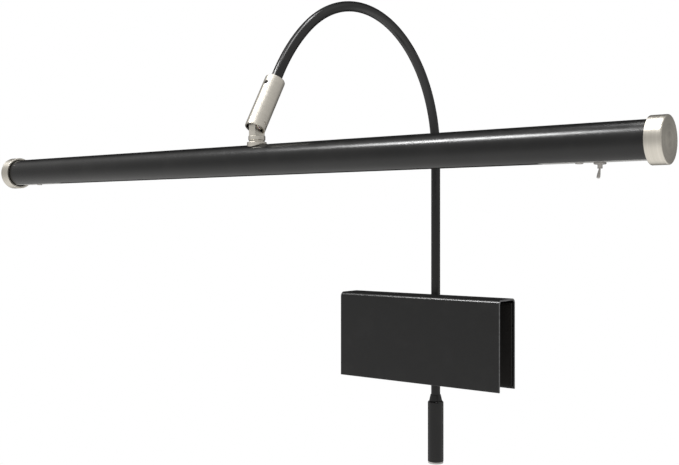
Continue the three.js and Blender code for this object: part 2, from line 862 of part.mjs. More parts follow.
function addLeads(group) {
  const start = driver.start - leads.gap;
  const end = driver.start + driver.length + leads.gap / 2 + 1;
  const low = rail.top + leads.height;
  const boardZ = rail.top - rail.web - touch - board.thickness / 2;
  const neckX = 7.5;
  const side = 4;
  const toDriver = [
    [neckX, side, low],
    [neckX + 37, 3, low],
    [start - 27, -2, low],
    [start, 0, low + 0.4],
  ];
  const toSwitch = [
    [end, 2, low],
    [end + 10.5, 2, low],
    [end + 28.5, 1, low],
    [toggleX - side, 0, low],
  ];
  const toBoard = [
    [end, -side, low],
    [end + 7, -side, low],
    [rail.end + 2, -side, 0.8],
    [rail.end + 1.6, -side, -0.7],
    [board.end + 1.6, -side, boardZ],
  ];
  piece(group, "driver_lead", lead(toDriver, leads.driver), whiteJacket);
  piece(group, "switch_lead", lead(toSwitch, leads.switched), whiteJacket);
  piece(group, "board_lead", lead(toBoard, leads.board), whiteJacket);
}

function addShade(group) {
  const tube = bar(tubeShape(), -tubeHalf, tubeHalf, 32);
  const neckHole = cylinder(shank.hole, backing.bottom, shade.radius + past);
  piece(group, "shade_tube", cut(tube, neckHole), blackCoat);
  addCaps(group);
  addPlates(group);
  addSwitch(group);
  addLight(group);
  addDriver(group);
  addLeads(group);
}

addSaddle();
addArm();
const shadeGroup = groupAt(root, 0, pivot.y, pivot.z - tongue.drop);
addNeck(shadeGroup);
addShade(shadeGroup);

export default root;
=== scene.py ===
import json
import math
import random

import bmesh
import bpy
from mathutils import Matrix, Vector, noise


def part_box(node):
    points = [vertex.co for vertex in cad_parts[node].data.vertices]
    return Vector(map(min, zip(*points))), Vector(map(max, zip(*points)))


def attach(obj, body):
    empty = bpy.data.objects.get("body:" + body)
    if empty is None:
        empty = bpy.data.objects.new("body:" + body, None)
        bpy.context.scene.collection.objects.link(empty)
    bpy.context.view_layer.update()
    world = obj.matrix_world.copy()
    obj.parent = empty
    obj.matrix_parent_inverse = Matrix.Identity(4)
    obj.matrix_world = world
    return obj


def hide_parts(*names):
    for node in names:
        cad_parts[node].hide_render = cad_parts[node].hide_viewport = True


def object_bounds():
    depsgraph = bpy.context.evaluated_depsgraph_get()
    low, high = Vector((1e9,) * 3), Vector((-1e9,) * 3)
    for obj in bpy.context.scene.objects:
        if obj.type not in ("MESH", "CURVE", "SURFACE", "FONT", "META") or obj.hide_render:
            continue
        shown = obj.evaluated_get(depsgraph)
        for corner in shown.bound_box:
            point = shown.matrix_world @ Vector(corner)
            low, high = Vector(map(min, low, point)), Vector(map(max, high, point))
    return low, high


# A hook-over picture light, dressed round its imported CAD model.
# Metres. +X runs along the shade to the right, +Y points back and +Z up.

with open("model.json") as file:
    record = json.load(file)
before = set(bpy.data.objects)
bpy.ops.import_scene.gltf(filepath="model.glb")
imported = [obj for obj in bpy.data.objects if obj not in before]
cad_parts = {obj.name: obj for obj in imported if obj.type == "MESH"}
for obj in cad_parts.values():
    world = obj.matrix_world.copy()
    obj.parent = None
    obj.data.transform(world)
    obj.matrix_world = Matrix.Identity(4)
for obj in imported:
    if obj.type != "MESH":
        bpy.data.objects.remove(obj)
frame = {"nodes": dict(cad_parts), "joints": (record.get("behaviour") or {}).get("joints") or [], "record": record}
cad_low, cad_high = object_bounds()

MM = 0.001
X_AXIS = Vector((1, 0, 0))
Y_AXIS = Vector((0, 1, 0))
Z_AXIS = Vector((0, 0, 1))
SMOOTH_ANGLE = math.radians(32)
LIGHT_DISTANCE = 3.0

record = frame["record"]
joints = {joint["name"]: joint for joint in frame["joints"]}
body_of = {
    node: body
    for body, nodes in record["behaviour"]["bodies"].items()
    for node in nodes
}
slot_of = {part["node"]: part["material_slot"] for part in record["subparts"]}

pivot = Vector(joints["shade_tilt"]["pos_m"])
shade_axis = Vector(joints["shade_swivel"]["pos_m"])
toggle_pivot = Vector(joints["toggle_throw"]["pos_m"])
rod_axis = Vector(joints["arm_swing"]["pos_m"])


def size(node):
    low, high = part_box(node)
    return high - low


def centre(node):
    low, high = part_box(node)
    return (low + high) / 2


# ---- Shaders ----


class Shader:
    """A material's node tree, with short calls for the nodes that the finishes share."""

    def __init__(self, name, roughness, metallic=0.0):
        self.material = bpy.data.materials.new(name)
        self.material.use_nodes = True
        self.tree = self.material.node_tree
        self.surface = self.tree.nodes["Principled BSDF"]
        self.surface.inputs["Roughness"].default_value = roughness
        self.surface.inputs["Metallic"].default_value = metallic
        self.place = self.node("ShaderNodeTexCoord").outputs["Object"]

    def node(self, kind, **settings):
        made = self.tree.nodes.new(kind)
        for key, value in settings.items():
            setattr(made, key, value)
        return made

    def link(self, source, target):
        self.tree.links.new(source, target)

    def put(self, socket, value):
        """Sets a socket from a number, a colour or another node's output."""
        if isinstance(value, bpy.types.NodeSocket):
            self.link(value, socket)
        else:
            socket.default_value = value

    def set(self, socket, value):
        self.put(self.surface.inputs[socket], value)

    def math(self, operation, first, second=0.0):
        made = self.node("ShaderNodeMath", operation=operation)
        self.put(made.inputs[0], first)
        self.put(made.inputs[1], second)
        return made.outputs[0]

    def vector(self, operation, first, second):
        made = self.node("ShaderNodeVectorMath", operation=operation)
        self.put(made.inputs[0], first)
        self.put(made.inputs[1], second)
        return made.outputs["Value" if operation in ("DOT_PRODUCT", "LENGTH") else "Vector"]

    def noise(self, feature, detail=2.0, place=None):
        """Noise whose blotches are about feature metres across."""
        made = self.node("ShaderNodeTexNoise")
        self.link(place or self.place, made.inputs["Vector"])
        made.inputs["Scale"].default_value = 1 / feature
        made.inputs["Detail"].default_value = detail
        return made.outputs["Fac"]

    def remap(self, value, low, high, start=0.3, end=0.7):
        made = self.node("ShaderNodeMapRange")
        self.link(value, made.inputs["Value"])
        made.inputs["From Min"].default_value = start
        made.inputs["From Max"].default_value = end
        made.inputs["To Min"].default_value = low
        made.inputs["To Max"].default_value = high
        return made.outputs["Result"]

    def mix(self, share, first, second):
        made = self.node("ShaderNodeMix", data_type="RGBA")
        self.put(made.inputs["Factor"], share)
        self.put(made.inputs["A"], first)
        self.put(made.inputs["B"], second)
        return made.outputs["Result"]

    def bump(self, *layers):
        """Stacks bumps, each a (height output, depth in metres) pair."""
        normal = None
        for height, depth in layers:
            made = self.node("ShaderNodeBump")
            made.inputs["Distance"].default_value = depth
            self.link(height, made.inputs["Height"])
            if normal:
                self.link(normal, made.inputs["Normal"])
            normal = made.outputs["Normal"]
        self.link(normal, self.surface.inputs["Normal"])


def shade_of(colour, factor):
    return tuple(channel * factor for channel in colour) + (1.0,)


def powder_coat(name, cut_edges=None):
    """Satin black powder coat with a fine orange peel.

    cut_edges makes a mask of the sheet edges from the shader; along them a pale grey is painted into the coat as a
    highlight.
    """
    shader = Shader(name, 0.24)
    base = (0.0040, 0.0040, 0.0042)
    speckle = shader.noise(0.5 * MM, 3)
    cloud = shader.noise(24 * MM, 4)
    tone = shader.mix(shader.remap(speckle, 0, 1), shade_of(base, 0.7), shade_of(base, 1.4))
    dust_and_edge_highlight = shader.mix(shader.remap(cloud, 0, 0.10, 0.5, 0.8), tone, (0.05, 0.049, 0.047, 1))
    if cut_edges:
        # Painted highlight: along the masked edges the coat is lightened towards pale grey, broken up by noise.
        edge_highlight_breakup = shader.remap(shader.noise(2.5 * MM, 3), 0.45, 1)
        edge_highlight = shader.math("MULTIPLY", cut_edges(shader), edge_highlight_breakup)
        dust_and_edge_highlight = shader.mix(edge_highlight, dust_and_edge_highlight, (0.15, 0.15, 0.155, 1))
    shader.set("Base Color", dust_and_edge_highlight)
    shader.set("Roughness", shader.remap(shader.noise(6 * MM, 3), 0.21, 0.27))
    shader.bump((shader.noise(1.4 * MM, 1.5), 0.0016 * MM), (speckle, 0.0003 * MM))
    return shader.material


def sheet_ends(shader):
    """A mask of the saddle's cut ends and lower edges, where a highlight is painted into the coat."""
    low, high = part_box("saddle_channel")
    split = shader.node("ShaderNodeSeparateXYZ")
    shader.link(shader.place, split.inputs["Vector"])
    reach = shader.math("ABSOLUTE", split.outputs["X"])
    ends = shader.remap(reach, 0, 1, high.x - 0.35 * MM, high.x - 0.10 * MM)
    hems = shader.remap(split.outputs["Z"], 1, 0, low.z + 0.10 * MM, low.z + 0.30 * MM)
    return shader.math("MAXIMUM", ends, shader.math("MULTIPLY", hems, 0.4))


def turned_metal(name, base, roughness, origin, axis, grooves=0.3 * MM, stretch=0.35, mouth=None):
    """Plated metal turned on a lathe: fine grooves that run round the axis through origin.

    mouth is the (radius, depth) of a bore at the origin, where painted shade darkens the metal almost to black.
    """
    shader = Shader(name, roughness, 1.0)
    reach = shader.vector("SUBTRACT", shader.place, tuple(origin))
    along = shader.vector("DOT_PRODUCT", reach, tuple(axis))
    inward = shader.node("ShaderNodeVectorMath", operation="SCALE")
    inward.inputs[0].default_value = tuple(axis)
    shader.link(along, inward.inputs["Scale"])
    outward = shader.vector("SUBTRACT", reach, inward.outputs["Vector"])
    lathe_place = shader.node("ShaderNodeCombineXYZ")
    shader.link(along, lathe_place.inputs["X"])
    distance = shader.vector("LENGTH", outward, (0, 0, 0))
    shader.link(distance, lathe_place.inputs["Y"])
    lines = shader.noise(grooves, 2.5, lathe_place.outputs["Vector"])
    bands = shader.noise(1.6 * MM, 2, lathe_place.outputs["Vector"])
    smudge = shader.noise(9 * MM, 3)
    tone = shader.mix(shader.remap(lines, 0, 1), shade_of(base, 0.86), shade_of(base, 1.08))
    banded = shader.mix(shader.remap(bands, 0, 0.8), tone, shade_of(base, 0.88))
    haze_and_bore_shade = shader.mix(shader.remap(smudge, 0, 0.3, 0.45, 0.75), banded, shade_of(base, 0.95))
    if mouth:
        # Painted shade: inside the bore the colour falls almost to black.
        inside = shader.remap(distance, 1, 0, mouth[0] - 0.1 * MM, mouth[0] + 0.1 * MM)
        low_down = shader.remap(along, 1, 0, mouth[1] - 0.1 * MM, mouth[1] + 0.1 * MM)
        bore = shader.math("MULTIPLY", inside, low_down)
        haze_and_bore_shade = shader.mix(bore, haze_and_bore_shade, shade_of(base, 0.03))
    shader.set("Base Color", haze_and_bore_shade)
    rough = shader.math("ADD", shader.remap(lines, -0.03, 0.03), shader.remap(smudge, -0.02, 0.03))
    shader.set("Roughness", shader.math("ADD", rough, roughness))
    shader.bump((lines, 0.0008 * MM), (bands, 0.0012 * MM))
    around = shader.node("ShaderNodeVectorTransform", vector_type="VECTOR")
    around.convert_from = "OBJECT"
    around.convert_to = "WORLD"
    shader.link(shader.vector("CROSS_PRODUCT", tuple(axis), outward), around.inputs["Vector"])
    normal = shader.node("ShaderNodeNewGeometry").outputs["Normal"]
    shader.set("Tangent", shader.vector("CROSS_PRODUCT", around.outputs["Vector"], normal))
    shader.set("Anisotropic", stretch)
    return shader.material


def drawn_metal(name, base, roughness, metallic=1.0):
    """Rolled or extruded metal with faint lines along X."""
    shader = Shader(name, roughness, metallic)
    drawn = shader.vector("MULTIPLY", shader.place, (0.02, 1, 1))
    lines = shader.noise(0.35 * MM, 3, drawn)
    shader.set("Base Color", shader.mix(lines, shade_of(base, 0.82), shade_of(base, 1.1)))
    shader.set("Roughness", shader.remap(lines, roughness - 0.08, roughness + 0.08))
    shader.bump((lines, 0.006 * MM))
    return shader.material


def moulded(name, base, roughness, grain=0.6 * MM, depth=0.01 * MM, soft=0.0):
    """A moulded plastic, rubber or ceramic with a fine grain and slightly uneven colour."""
    shader = Shader(name, roughness)
    fine = shader.noise(grain, 3)
    cloud = shader.noise(12 * MM, 3)
    tone = shader.mix(fine, shade_of(base, 0.90), shade_of(base, 1.08))
    shader.set("Base Color", shader.mix(shader.remap(cloud, 0, 0.4), tone, shade_of(base, 0.93)))
    shader.set("Roughness", shader.remap(cloud, roughness - 0.06, roughness + 0.06))
    shader.set("Subsurface Weight", soft)
    shader.surface.inputs["Subsurface Scale"].default_value = 1.5 * MM
    shader.bump((fine, depth))
    return shader.material


def solder_mask():
    """A green circuit board with pale tracks that run in straight lines under the mask."""
    shader = Shader("solder_mask", 0.35)
    tracks = shader.node("ShaderNodeTexBrick", offset=0.37, squash=1.0)
    shader.link(shader.place, tracks.inputs["Vector"])
    tracks.inputs["Color1"].default_value = (0.015, 0.10, 0.045, 1)
    tracks.inputs["Color2"].default_value = (0.02, 0.14, 0.06, 1)
    tracks.inputs["Mortar"].default_value = (0.05, 0.22, 0.10, 1)
    tracks.inputs["Scale"].default_value = 1 / (4 * MM)
    tracks.inputs["Mortar Size"].default_value = 0.06
    grain = shader.noise(0.3 * MM, 2)
    shader.set("Base Color", tracks.outputs["Color"])
    shader.set("Roughness", shader.remap(grain, 0.28, 0.42))
    shader.bump((tracks.outputs["Fac"], 0.03 * MM), (grain, 0.004 * MM))
    return shader.material


def wool_felt():
    """Pressed wool felt: matted short fibres, a soft sheen and a little lint."""
    shader = Shader("wool_felt", 0.95)
    mat = shader.noise(0.45 * MM, 5)
    strand = shader.node("ShaderNodeTexVoronoi", feature="DISTANCE_TO_EDGE")
    shader.link(shader.place, strand.inputs["Vector"])
    strand.inputs["Scale"].default_value = 1 / (0.7 * MM)
    fibres = strand.outputs["Distance"]
    tone = shader.mix(mat, (0.0045, 0.0042, 0.0038, 1), (0.0170, 0.0150, 0.0130, 1))
    lint = shader.remap(shader.noise(2.5 * MM, 6), 0, 0.30, 0.62, 0.80)
    shader.set("Base Color", shader.mix(lint, tone, (0.05, 0.046, 0.042, 1)))
    shader.set("Sheen Weight", 0.12)
    shader.set("Sheen Roughness", 0.6)
    shader.set("Specular IOR Level", 0.1)
    shader.bump((fibres, 0.10 * MM), (mat, 0.14 * MM))
    return shader.material


def opal_lens():
    """An opal acrylic lens: milky, with a satin skin drawn along its length."""
    shader = Shader("opal_lens", 0.42)
    drawn = shader.vector("MULTIPLY", shader.place, (0.03, 1, 1))
    lines = shader.noise(0.5 * MM, 2, drawn)
    shader.set("Base Color", shader.mix(lines, (0.78, 0.77, 0.73, 1), (0.90, 0.89, 0.86, 1)))
    shader.set("Roughness", shader.remap(lines, 0.36, 0.50))
    shader.set("Subsurface Weight", 0.6)
    shader.surface.inputs["Subsurface Scale"].default_value = 2.5 * MM
    shader.bump((lines, 0.005 * MM))
    return shader.material


NICKEL = (0.74, 0.705, 0.635)
# A darker copy of the nickel for the end caps: painted shade.
SHADED_CAP_NICKEL = (0.69, 0.655, 0.585)
GREY_METAL = (0.46, 0.44, 0.42)
BLACK_OXIDE = (0.06, 0.058, 0.056)
BRASS = (0.70, 0.52, 0.24)


# ---- Meshes ----


def shown(name, mesh):
    """A new object that holds a bmesh, with its faces pointing out."""
    bmesh.ops.recalc_face_normals(mesh, faces=mesh.faces)
    data = bpy.data.meshes.new(name)
    mesh.to_mesh(data)
    mesh.free()
    made = bpy.data.objects.new(name, data)
    bpy.context.scene.collection.objects.link(made)
    return made


def evaluated(piece):
    """Applies a piece's modifiers."""
    graph = bpy.context.evaluated_depsgraph_get()
    piece.data = bpy.data.meshes.new_from_object(piece.evaluated_get(graph))
    piece.modifiers.clear()
    return piece


def carve(piece, *tools, operation="DIFFERENCE"):
    """Cuts the tools out of a piece, or joins them to it, and removes them."""
    for tool in tools:
        step = piece.modifiers.new("step", "BOOLEAN")
        step.operation = operation
        step.solver = "EXACT"
        step.object = tool
        evaluated(piece)
        bpy.data.objects.remove(tool)
    return piece


def soften(piece, width, segments=2, angle=42):
    """Rounds the edges that turn through more than angle degrees."""
    step = piece.modifiers.new("edges", "BEVEL")
    step.width = width
    step.segments = segments
    step.limit_method = "ANGLE"
    step.angle_limit = math.radians(angle)
    step.use_clamp_overlap = True
    return evaluated(piece)


def stands_for(piece, material, *nodes):
    """Dresses a finished piece and lets it stand for its CAD nodes."""
    piece.data.materials.clear()
    piece.data.materials.append(material)
    piece.data.shade_smooth()
    piece.data.set_sharp_from_angle(angle=SMOOTH_ANGLE)
    even = piece.modifiers.new("even", "WEIGHTED_NORMAL")
    even.mode = "FACE_AREA"
    even.keep_sharp = True
    evaluated(piece)
    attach(piece, body_of[nodes[0]])
    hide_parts(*nodes)
    return piece


def rounded(corners, closed=False, steps=5):
    """The points of an outline given as (x, y, radius) corners, with the corners rounded."""
    points = []
    for i, (x, y, radius) in enumerate(corners):
        corner = Vector((x, y))
        if not radius or (not closed and i in (0, len(corners) - 1)):
            points.append(corner)
            continue
        before = (Vector(corners[i - 1][:2]) - corner).normalized()
        after = (Vector(corners[(i + 1) % len(corners)][:2]) - corner).normalized()
        half = before.angle(after) / 2
        middle = corner + (before + after).normalized() * radius / math.sin(half)
        first = corner + before * radius / math.tan(half) - middle
        last = corner + after * radius / math.tan(half) - middle
        turn = math.atan2(first.cross(last), first.dot(last))
        for step in range(steps + 1):
            angle = turn * step / steps
            cos, sin = math.cos(angle), math.sin(angle)
            points.append(middle + Vector((first.x * cos - first.y * sin, first.x * sin + first.y * cos)))
    return points


def on_axis(origin, axis):
    """A matrix that puts a piece made about Z on an axis through origin."""
    turn = Vector(axis).to_track_quat("Z", "Y").to_matrix().to_4x4()
    return Matrix.Translation(origin) @ turn


def turned(name, outline, place, segments=96, shape=None):
    """Turns (radius, height) points about an axis. shape can change a radius by its angle."""
    mesh = bmesh.new()
    rings = []
    for radius, height in outline:
        if radius < 1e-7:
            rings.append([mesh.verts.new(place @ Vector((0, 0, height)))])
            continue
        ring = []
        for i in range(segments):
            angle = 2 * math.pi * i / segments
            reach = shape(radius, height, angle) if shape else radius
            point = Vector((reach * math.cos(angle), reach * math.sin(angle), height))
            ring.append(mesh.verts.new(place @ point))
        rings.append(ring)
    closed = len(rings[0]) > 1
    pairs = list(zip(rings, rings[1:] + rings[:1])) if closed else list(zip(rings, rings[1:]))
    for lower, upper in pairs:
        for i in range(segments):
            j = (i + 1) % segments
            if len(lower) == 1:
                mesh.faces.new((lower[0], upper[j], upper[i]))
            elif len(upper) == 1:
                mesh.faces.new((lower[i], lower[j], upper[0]))
            else:
                mesh.faces.new((lower[i], lower[j], upper[j], upper[i]))
    return shown(name, mesh)


def extruded(name, outline, start, end):
    """Extrudes a (y, z) outline along X."""
    mesh = bmesh.new()
    sides = [[mesh.verts.new((x, y, z)) for y, z in outline] for x in (start, end)]
    count = len(outline)
    for i in range(count):
        j = (i + 1) % count
        mesh.faces.new((sides[0][i], sides[0][j], sides[1][j], sides[1][i]))
    mesh.faces.new(sides[0])
    mesh.faces.new(sides[1])
    return shown(name, mesh)


def slab(name, low, high):
    """A plain block, used as a cutting tool or as the start of a plate."""
    outline = [(low[1], low[2]), (high[1], low[2]), (high[1], high[2]), (low[1], high[2])]
    return extruded(name, outline, low[0], high[0])


def rod(name, radius, start, end, place, segments=64):
    return turned(name, [(0, start), (radius, start), (radius, end), (0, end)], place, segments)


def swept(name, path, radius, sides=48, bore=0.0):
    """A round bar or tube along a path in a plane of constant x."""
    mesh = bmesh.new()
    rings = []
    for i, point in enumerate(path):
        ahead = path[min(i + 1, len(path) - 1)] - path[max(i - 1, 0)]
        across = ahead.cross(X_AXIS).normalized()
        station = []
        for reach in (radius, bore) if bore else (radius,):
            for k in range(sides):
                angle = 2 * math.pi * k / sides
                spoke = X_AXIS * math.cos(angle) + across * math.sin(angle)
                station.append(mesh.verts.new(point + spoke * reach))
        rings.append(station)
    for lower, upper in zip(rings, rings[1:]):
        for layer in range(len(lower) // sides):
            for k in range(sides):
                i = layer * sides + k
                j = layer * sides + (k + 1) % sides
                mesh.faces.new((lower[i], lower[j], upper[j], upper[i]))
    for ring in (rings[0], rings[-1]):
        if not bore:
            mesh.faces.new(ring)
            continue
        for k in range(sides):
            j = (k + 1) % sides
            mesh.faces.new((ring[k], ring[j], ring[sides + j], ring[sides + k]))
    return shown(name, mesh)


def hexagon(flats):
    """A turned piece's shape with flats, whose radius stays under the outline's own."""

    def shape(radius, _height, angle):
        offset = (angle + math.pi / 6) % (math.pi / 3) - math.pi / 6
        return min(radius, flats / 2 / math.cos(offset))

    return shape


def thread(name, outline, place, pitch, depth, low, high):
    """A turned piece whose outer face carries a helical thread between two heights."""
    rows = []
    step = pitch / 8
    for (r0, h0), (r1, h1) in zip(outline, outline[1:]):
        count = max(1, round(abs(h1 - h0) / step)) if abs(r1 - r0) < 1e-7 else 1
        rows += [(r0 + (r1 - r0) * i / count, h0 + (h1 - h0) * i / count) for i in range(count)]
    rows.append(outline[-1])
    outer = max(radius for radius, _ in outline)

    def shape(radius, height, angle):
        if radius < outer - 1e-6 or not low < height < high:
            return radius
        phase = (height / pitch - angle / (2 * math.pi)) % 1
        fade = min(1, (height - low) / pitch, (high - height) / pitch)
        return radius - depth * fade * abs(2 * phase - 1)

    return turned(name, rows, place, 48, shape)


# ---- Saddle ----


def channel(coat):
    low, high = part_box("saddle_channel")
    sheet = high.z
    bend = 4 * MM
    inner = high.y - sheet
    corners = [
        (low.y, low.z, 0),
        (low.y, high.z, bend),
        (high.y, high.z, bend),
        (high.y, low.z, 0),
        (inner, low.z, 0),
        (inner, 0, bend - sheet),
        (-inner, 0, bend - sheet),
        (-inner, low.z, 0),
    ]
    piece = extruded("saddle_shell", rounded(corners, True, 10), low.x, high.x)
    stands_for(soften(piece, 0.28 * MM, 3), coat, "saddle_channel")


def felt_pad(node, side, felt):
    """A pressed pad with soft, slightly ragged edges and an uneven face. side is the way it faces."""
    low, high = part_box(node)
    half = (high - low) / 2
    middle = (low + high) / 2
    cell = 1.6 * MM
    columns = round(2 * half.x / cell)
    rows = round(2 * half.z / cell)
    mesh = bmesh.new()
    front, back = [], []
    for r in range(rows + 1):
        for c in range(columns + 1):
            x = middle.x - half.x + 2 * half.x * c / columns
            z = middle.z - half.z + 2 * half.z * r / rows
            wander = noise.noise_vector(Vector((x, side * 0.3, z)) / (3.1 * MM)) * 0.12 * MM
            inset = min(half.x - abs(x - middle.x), half.z - abs(z - middle.z))
            droop = max(0.0, 1 - inset / (1.2 * MM)) ** 2 * 0.55 * MM
            swell = noise.noise(Vector((x, side, z)) / (5 * MM)) * 0.07 * MM
            x = min(max(x + wander.x, low.x), high.x)
            z = min(max(z + wander.z, low.z), high.z)
            face = half.y - 0.08 * MM - droop + swell
            front.append(mesh.verts.new((x, middle.y + side * face, z)))
            back.append(mesh.verts.new((x, middle.y - side * half.y, z)))
    width = columns + 1
    for r in range(rows):
        for c in range(columns):
            i = r * width + c
            quad = (i, i + 1, i + 1 + width, i + width)
            mesh.faces.new([front[k] for k in quad])
            mesh.faces.new([back[k] for k in reversed(quad)])
    rim = list(range(width)) + [r * width + columns for r in range(1, rows + 1)]
    rim += [rows * width + c for c in range(columns - 1, -1, -1)]
    rim += [r * width for r in range(rows - 1, 0, -1)]
    for i, j in zip(rim, rim[1:] + rim[:1]):
        mesh.faces.new((front[i], front[j], back[j], back[i]))
    piece = shown(node.replace("felt", "pad"), mesh)
    stands_for(piece, felt, node)


def felt_fuzz(node, side, felt, seed, count=1400):
    """Loose fibre ends that stand out of a pad's face and edges."""
    draw = random.Random(seed)
    low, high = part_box(node)
    face = high.y if side > 0 else low.y
    mesh = bmesh.new()
    for _ in range(count):
        at_edge = draw.random() < 0.6
        x = draw.uniform(low.x, high.x)
        z = draw.uniform(low.z, high.z)
        if at_edge and draw.random() < 0.5:
            x = draw.choice((low.x, high.x))
        elif at_edge:
            z = low.z
        root = Vector((x, face - side * draw.uniform(0.2, 1.2) * MM, z))
        outward = Vector((draw.gauss(0, 1), side * abs(draw.gauss(0.8, 0.6)), draw.gauss(0, 1)))
        outward.normalize()
        curl = Vector((draw.gauss(0, 1), 0.2 * side, draw.gauss(0, 1))).normalized()
        length = draw.uniform(0.5, 1.4) * MM
        across = outward.orthogonal().normalized() * 0.018 * MM
        other = outward.cross(across).normalized() * 0.018 * MM
        bottom = [mesh.verts.new(root + offset) for offset in (across, other, -across - other)]
        knee = root + outward * length * 0.6
        middle = [mesh.verts.new(knee + offset) for offset in (across, other, -across - other)]
        tip = mesh.verts.new(knee + (outward + curl).normalized() * length * 0.5)
        mesh.faces.new(bottom)
        for i in range(3):
            j = (i + 1) % 3
            mesh.faces.new((bottom[i], bottom[j], middle[j], middle[i]))
            mesh.faces.new((middle[i], middle[j], tip))
    piece = shown(node.replace("felt", "fuzz"), mesh)
    piece.data.materials.append(felt)
    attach(piece, body_of[node])


def guide(coat):
    """The guide tube, its foot and the threaded boss, joined by small weld fillets."""
    low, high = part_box("guide_tube")
    place = on_axis((rod_axis.x, rod_axis.y, 0), Z_AXIS)
    radius = (high.x - low.x) / 2
    boss_axis = on_axis((0, rod_axis.y, joints["lock_turn"]["pos_m"][2]), Y_AXIS)
    boss_end = high.y - rod_axis.y
    foot = 3.5 * MM
    piece = rod("guide", radius, low.z, high.z, place, 96)
    carve(
        piece,
        slab("foot", (-foot, low.y, low.z), (foot, rod_axis.y, high.z)),
        rod("boss", 5 * MM, 0, boss_end, boss_axis),
        operation="UNION",
    )
    carve(
        piece,
        rod("bore", 4.62 * MM, low.z - MM, high.z + MM, place, 96),
        rod("tapped", 2.6 * MM, 0, boss_end + MM, boss_axis),
    )
    stands_for(soften(piece, 0.3 * MM), coat, "guide_tube")


def guide_bush(nylon):
    low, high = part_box("guide_liner")
    place = on_axis((rod_axis.x, rod_axis.y, 0), Z_AXIS)
    lip = (high.x - low.x) / 2
    bore = size("arm_tube").x / 2 + 0.12 * MM
    body = 4.5 * MM
    flange = MM
    ease = 0.2 * MM
    corners = [
        (bore, low.z, ease),
        (lip, low.z, ease),
        (lip, low.z + flange, ease),
        (body, low.z + flange, 0),
        (body, high.z - flange, 0),
        (lip, high.z - flange, ease),
        (lip, high.z, ease),
        (bore, high.z, ease),
    ]
    piece = turned("guide_bush", rounded(corners, True, 3), place)
    slit = slab("slit", (-0.4 * MM, rod_axis.y - 2 * lip, low.z - MM), (0.4 * MM, rod_axis.y, high.z + MM))
    stands_for(carve(piece, slit), nylon, "guide_liner")


def knob_and_screw(plastic, steel, nylon):
    place = on_axis((0, 0, joints["lock_turn"]["pos_m"][2]), Y_AXIS)
    low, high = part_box("lock_screw")
    radius = (high.x - low.x) / 2
    ease = 0.4 * MM
    outline = rounded([(0, low.y, 0), (radius, low.y, ease), (radius, high.y, ease), (0, high.y, 0)])
    points = [(point.x, point.y) for point in outline]
    screw = thread("lock_stud", points, place, 0.8 * MM, 0.4 * MM, low.y + ease, high.y - ease)
    stands_for(screw, steel, "lock_screw")

    low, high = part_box("lock_pad")
    radius = (high.x - low.x) / 2
    corners = [(0, low.y, 0), (radius, low.y, ease), (radius, high.y, ease), (0, high.y, 0)]
    stands_for(turned("lock_tip", rounded(corners), place, 48), nylon, "lock_pad")

    low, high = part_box("lock_knob")
    grip = (high.x - low.x) / 2
    bore = size("lock_screw").x / 2 + 0.05 * MM
    ridges = 24

    def knurl(radius, height, angle):
        share = min(1, max(0, (radius - 0.82 * grip) / (0.18 * grip)))
        return radius - 0.45 * MM * share * (0.5 + 0.5 * math.cos(ridges * angle)) ** 2

    corners = [
        (bore, low.y, 0.1 * MM),
        (5.4 * MM, low.y, 0.4 * MM),
        (6.0 * MM, low.y + 1.3 * MM, 0.4 * MM),
        (grip, low.y + 1.9 * MM, 0.5 * MM),
        (grip, high.y - 0.4 * MM, 0.9 * MM),
        (grip - 1.6 * MM, high.y, 0.8 * MM),
        (grip - 2.6 * MM, high.y - 0.5 * MM, 0.4 * MM),
        (bore, high.y - 0.5 * MM, 0.1 * MM),
    ]
    knob = turned("lock_grip", rounded(corners, True, 4), place, 240, knurl)
    stands_for(knob, plastic, "lock_knob")


# ---- Arm ----


def arm_path(start, end):
    """The arm's centre line between two distances from its bottom end, as points."""
    tube_low, tube_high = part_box("arm_tube")
    tube = (tube_high.x - tube_low.x) / 2
    radius = 107.6 * MM
    lead_radius = 145 * MM
    first = math.radians(129.25)
    lead = math.radians(20)
    rise = tube_high.z - tube - radius - tube_low.z
    stretches = [(rise, 0), (radius * first, first), (lead_radius * lead, lead), (1, 0)]
    point = Vector((0, rod_axis.y, tube_low.z))
    heading = 0.0
    passed = 0.0
    points = []
    step = 2 * MM
    for length, turn in stretches:
        count = max(1, math.ceil(min(length, end - passed) / step))
        part = min(length, end - passed) / count
        for i in range(count):
            at = passed + part * i
            if at >= start - 1e-9:
                points.append(point.copy())
            bend = turn / length
            nose = heading + bend * part / 2
            point = point + Vector((0, -math.sin(nose), math.cos(nose))) * part
            heading += bend * part
        passed += part * count
        if passed >= end - 1e-9:
            break
    points.append(point)
    return points


def arm(coat, rubber):
    path = arm_path(0, 0.8)
    along = [0.0]
    for before, after in zip(path, path[1:]):
        along.append(along[-1] + (after - before).length)
    nearest = min(range(len(path)), key=lambda i: (path[i] - pivot).length)
    length = along[nearest]
    radius = size("arm_tube").x / 2
    tube = swept("arm_rod", arm_path(0, length - 9.5 * MM), radius, 64, 2.6 * MM)
    stands_for(tube, coat, "arm_tube")
    below = Vector((0, rod_axis.y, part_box("arm_cable")[0].z))
    core = swept("arm_core", [below] + arm_path(0, length - 6.5 * MM), size("arm_cable").x / 2, 20)
    stands_for(core, rubber, "arm_cable")


